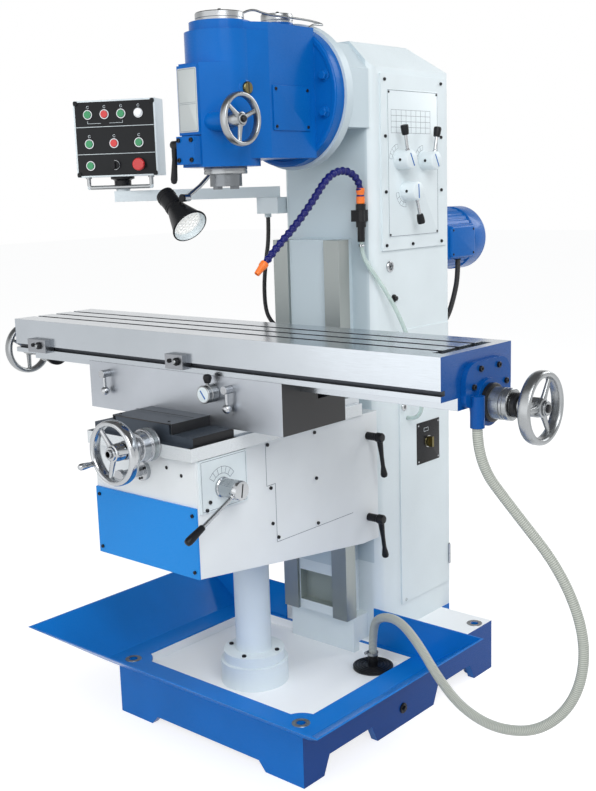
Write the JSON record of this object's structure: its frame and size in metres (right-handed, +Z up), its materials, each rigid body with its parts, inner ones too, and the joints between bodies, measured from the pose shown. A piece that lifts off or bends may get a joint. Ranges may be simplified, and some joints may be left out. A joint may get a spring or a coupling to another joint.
{
  "type": "knee mill",
  "caption": "Vertical knee milling machine with a swivelling head, a table sliding on a saddle and a lifting knee, handwheels, coolant tray and a pendant control box.",
  "frame": {"origin": "centre of the four anchor bolt holes, on the floor", "axes": "+X right along the table as the operator sees it, +Y from the operator to the column, +Z up"},
  "size_m": [2.0495, 1.753, 2.088],
  "materials": {
    "white_paint": "gloss paint",
    "blue_paint": "gloss paint",
    "sheet_paint": "gloss paint",
    "ground_iron": "ground",
    "bright_steel": "turned",
    "chrome": "polished",
    "black_plastic": "satin",
    "dark_sheet": "satin",
    "green_plastic": "gloss",
    "red_plastic": "gloss",
    "clear_hose": "translucent",
    "line_plastic": "satin",
    "black_rubber": "matte"
  },
  "bodies": {
    "stand": {"base_casting": "blue_paint", "coolant_tray": "blue_paint", "column_casting": "white_paint", "gearbox_cover": "white_paint", "cabinet_door": "white_paint", "drive_motor": "blue_paint", "elevating_pedestal": "white_paint", "drain_cover": "black_plastic", "coolant_valve": "black_plastic", "pendant_bracket": "sheet_paint", "drain_hose": "clear_hose", "coolant_hose": "line_plastic", "coolant_tube": "clear_hose", "pendant_conduit": "black_rubber", "motor_conduit": "black_rubber"},
    "knee_body": {"knee_casting": "white_paint", "knee_covers": "blue_paint"},
    "saddle_body": {"saddle_casting": "ground_iron", "way_cover": "dark_sheet", "table_nut": "ground_iron"},
    "table_body": {"table_top": "ground_iron", "end_brackets": "blue_paint", "trip_dogs": "bright_steel"},
    "table_screw_body": {"table_screw": "bright_steel", "table_handwheels": "chrome"},
    "cross_screw_body": {"cross_screw": "bright_steel", "cross_handwheel": "chrome"},
    "head_body": {"head_casting": "blue_paint", "head_caps": "bright_steel"},
    "lift_shaft_body": {"elevating_shaft": "bright_steel"},
    "lift_screw_body": {"elevating_screw": "bright_steel"},
    "quill_body": {"quill": "bright_steel"},
    "spindle_body": {"spindle": "bright_steel"},
    "drive_shaft_body": {"drive_shaft": "bright_steel"},
    "quill_wheel_body": {"quill_handwheel": "chrome"},
    "quill_clamp_body": {"quill_clamp": "black_plastic"},
    "lamp_arm_body": {"lamp_arm": "bright_steel"},
    "lamp_shade_body": {"lamp_shade": "dark_sheet"},
    "lever_front_body": {"speed_lever_front": "black_plastic"},
    "lever_rear_body": {"speed_lever_rear": "black_plastic"},
    "lever_low_body": {"speed_lever_low": "black_plastic"},
    "switch_body": {"main_switch_knob": "black_plastic"},
    "pendant_arm_body": {"pendant_arm": "sheet_paint"},
    "pendant_body": {"pendant_box": "sheet_paint"},
    "selector_body": {"direction_selector": "black_plastic"},
    "stop_body": {"stop_button": "red_plastic"},
    "feed_lever_body": {"feed_lever": "black_plastic"},
    "knee_clamp_upper_body": {"knee_clamp_upper": "bright_steel"},
    "knee_clamp_lower_body": {"knee_clamp_lower": "bright_steel"},
    "saddle_clamp_left_body": {"saddle_clamp_left": "bright_steel"},
    "saddle_clamp_right_body": {"saddle_clamp_right": "bright_steel"},
    "table_feed_body": {"table_feed_lever": "black_plastic"},
    "button_1_body": {"button_1": "green_plastic"},
    "button_2_body": {"button_2": "red_plastic"},
    "button_3_body": {"button_3": "green_plastic"},
    "button_4_body": {"button_4": "green_plastic"},
    "button_5_body": {"button_5": "red_plastic"},
    "button_6_body": {"button_6": "green_plastic"},
    "button_7_body": {"button_7": "green_plastic"}
  },
  "joints": [
    {"name": "knee_lift", "type": "slide", "parent": "stand", "child": "knee_body", "axis": [0, 0, 1], "range_m": [-0.23, 0.13], "deforming": ["drain_hose"]},
    {"name": "saddle_cross", "type": "slide", "parent": "knee_body", "child": "saddle_body", "axis": [0, 1, 0], "range_m": [-0.1, 0.14], "deforming": ["drain_hose"]},
    {"name": "table_traverse", "type": "slide", "parent": "saddle_body", "child": "table_body", "axis": [1, 0, 0], "range_m": [-0.456, 0.344], "deforming": ["drain_hose"]},
    {"name": "table_screw_turn", "type": "hinge", "parent": "table_body", "child": "table_screw_body", "pos_m": [0, -0.336, 1.097], "axis": [1, 0, 0], "continuous": true},
    {"name": "cross_screw_turn", "type": "hinge", "parent": "knee_body", "child": "cross_screw_body", "pos_m": [0.052, -0.4, 0.955], "axis": [0, 1, 0], "continuous": true},
    {"name": "lift_shaft_turn", "type": "hinge", "parent": "knee_body", "child": "lift_shaft_body", "pos_m": [0, -0.5, 0.874], "axis": [0, 1, 0], "continuous": true},
    {"name": "lift_screw_turn", "type": "hinge", "parent": "knee_body", "child": "lift_screw_body", "pos_m": [0, -0.254, 0.6], "axis": [0, 0, 1], "continuous": true},
    {"name": "head_swivel", "type": "hinge", "parent": "stand", "child": "head_body", "pos_m": [0, -0.004, 1.857], "axis": [0, 1, 0], "range_deg": [-45, 45]},
    {"name": "quill_feed", "type": "slide", "parent": "head_body", "child": "quill_body", "axis": [0, 0, -1], "range_m": [0, 0.085]},
    {"name": "spindle_turn", "type": "hinge", "parent": "quill_body", "child": "spindle_body", "pos_m": [0, -0.291, 1.7], "axis": [0, 0, 1], "continuous": true},
    {"name": "drive_shaft_turn", "type": "hinge", "parent": "stand", "child": "drive_shaft_body", "pos_m": [0, 0.1, 1.857], "axis": [0, 1, 0], "continuous": true},
    {"name": "quill_wheel_turn", "type": "hinge", "parent": "head_body", "child": "quill_wheel_body", "pos_m": [0.152, -0.382, 1.779], "axis": [1, 0, 0], "continuous": true},
    {"name": "quill_clamp_turn", "type": "hinge", "parent": "head_body", "child": "quill_clamp_body", "pos_m": [-0.05, -0.427, 1.722], "axis": [1, 0, 0], "range_deg": [-60, 20]},
    {"name": "lamp_arm_turn", "type": "hinge", "parent": "head_body", "child": "lamp_arm_body", "pos_m": [-0.104, -0.205, 1.661], "axis": [0, 0, -1], "range_deg": [-10, 70]},
    {"name": "lamp_tilt", "type": "hinge", "parent": "lamp_arm_body", "child": "lamp_shade_body", "pos_m": [-0.136, -0.318, 1.58], "axis": [0, 1, 0], "range_deg": [-10, 35]},
    {"name": "lever_front_turn", "type": "hinge", "parent": "stand", "child": "lever_front_body", "pos_m": [0.2, 0.27, 1.672], "axis": [1, 0, 0], "range_deg": [-30, 30]},
    {"name": "lever_rear_turn", "type": "hinge", "parent": "stand", "child": "lever_rear_body", "pos_m": [0.2, 0.402, 1.669], "axis": [1, 0, 0], "range_deg": [-30, 30]},
    {"name": "lever_low_turn", "type": "hinge", "parent": "stand", "child": "lever_low_body", "pos_m": [0.2, 0.302, 1.578], "axis": [1, 0, 0], "range_deg": [-30, 30]},
    {"name": "main_switch_turn", "type": "hinge", "parent": "stand", "child": "switch_body", "pos_m": [0.19, 0.4175, 0.768], "axis": [1, 0, 0], "range_deg": [0, 90]},
    {"name": "pendant_arm_turn", "type": "hinge", "parent": "stand", "child": "pendant_arm_body", "pos_m": [-0.235, 0.15, 1.56], "axis": [0, 0, -1], "range_deg": [-30, 70]},
    {"name": "pendant_turn", "type": "hinge", "parent": "pendant_arm_body", "child": "pendant_body", "pos_m": [-0.5981, -0.1547, 1.6], "axis": [0, 0, 1], "range_deg": [-60, 60]},
    {"name": "feed_lever_turn", "type": "hinge", "parent": "knee_body", "child": "feed_lever_body", "pos_m": [0.23, -0.562, 0.84], "axis": [1, 0, 0], "range_deg": [-25, 25]},
    {"name": "knee_clamp_upper_turn", "type": "hinge", "parent": "knee_body", "child": "knee_clamp_upper_body", "pos_m": [0.22, 0.068, 0.855], "axis": [1, 0, 0], "range_deg": [-40, 40]},
    {"name": "knee_clamp_lower_turn", "type": "hinge", "parent": "knee_body", "child": "knee_clamp_lower_body", "pos_m": [0.22, 0.068, 0.6], "axis": [1, 0, 0], "range_deg": [-40, 40]},
    {"name": "saddle_clamp_left_turn", "type": "hinge", "parent": "saddle_body", "child": "saddle_clamp_left_body", "pos_m": [-0.292, -0.52, 1.09], "axis": [0, 1, 0], "range_deg": [-45, 45]},
    {"name": "saddle_clamp_right_turn", "type": "hinge", "parent": "saddle_body", "child": "saddle_clamp_right_body", "pos_m": [0.2, -0.52, 1.09], "axis": [0, 1, 0], "range_deg": [-45, 30]},
    {"name": "table_feed_turn", "type": "hinge", "parent": "saddle_body", "child": "table_feed_body", "pos_m": [0.135, -0.54, 1.074], "axis": [0, 1, 0], "range_deg": [-30, 30]},
    {"name": "selector_turn", "type": "hinge", "parent": "pendant_body", "child": "selector_body", "pos_m": [-0.57946, -0.19584, 1.68655], "axis": [0.4924, -0.8704, 0], "range_deg": [-45, 45]},
    {"name": "stop_press", "type": "slide", "parent": "pendant_body", "child": "stop_body", "axis": [-0.4924, 0.8704, 0], "range_m": [0, 0.005], "stiffness_N_per_m": 1500},
    {"name": "button_1_press", "type": "slide", "parent": "pendant_body", "child": "button_1_body", "axis": [-0.4924, 0.8704, 0], "range_m": [0, 0.004], "stiffness_N_per_m": 800},
    {"name": "button_2_press", "type": "slide", "parent": "pendant_body", "child": "button_2_body", "axis": [-0.4924, 0.8704, 0], "range_m": [0, 0.004], "stiffness_N_per_m": 800},
    {"name": "button_3_press", "type": "slide", "parent": "pendant_body", "child": "button_3_body", "axis": [-0.4924, 0.8704, 0], "range_m": [0, 0.004], "stiffness_N_per_m": 800},
    {"name": "button_4_press", "type": "slide", "parent": "pendant_body", "child": "button_4_body", "axis": [-0.4924, 0.8704, 0], "range_m": [0, 0.004], "stiffness_N_per_m": 800},
    {"name": "button_5_press", "type": "slide", "parent": "pendant_body", "child": "button_5_body", "axis": [-0.4924, 0.8704, 0], "range_m": [0, 0.004], "stiffness_N_per_m": 800},
    {"name": "button_6_press", "type": "slide", "parent": "pendant_body", "child": "button_6_body", "axis": [-0.4924, 0.8704, 0], "range_m": [0, 0.004], "stiffness_N_per_m": 800},
    {"name": "button_7_press", "type": "slide", "parent": "pendant_body", "child": "button_7_body", "axis": [-0.4924, 0.8704, 0], "range_m": [0, 0.004], "stiffness_N_per_m": 800}
  ],
  "couplings": [
    {"joint": "table_screw_turn", "follows": "table_traverse", "rad_per_m": 1047.2},
    {"joint": "cross_screw_turn", "follows": "saddle_cross", "rad_per_m": 1256.6},
    {"joint": "lift_screw_turn", "follows": "knee_lift", "rad_per_m": 1047.2},
    {"joint": "lift_shaft_turn", "follows": "knee_lift", "rad_per_m": -1852.7},
    {"joint": "quill_wheel_turn", "follows": "quill_feed", "rad_per_m": -314.16},
    {"joint": "drive_shaft_turn", "follows": "spindle_turn", "ratio": -1}
  ]
}
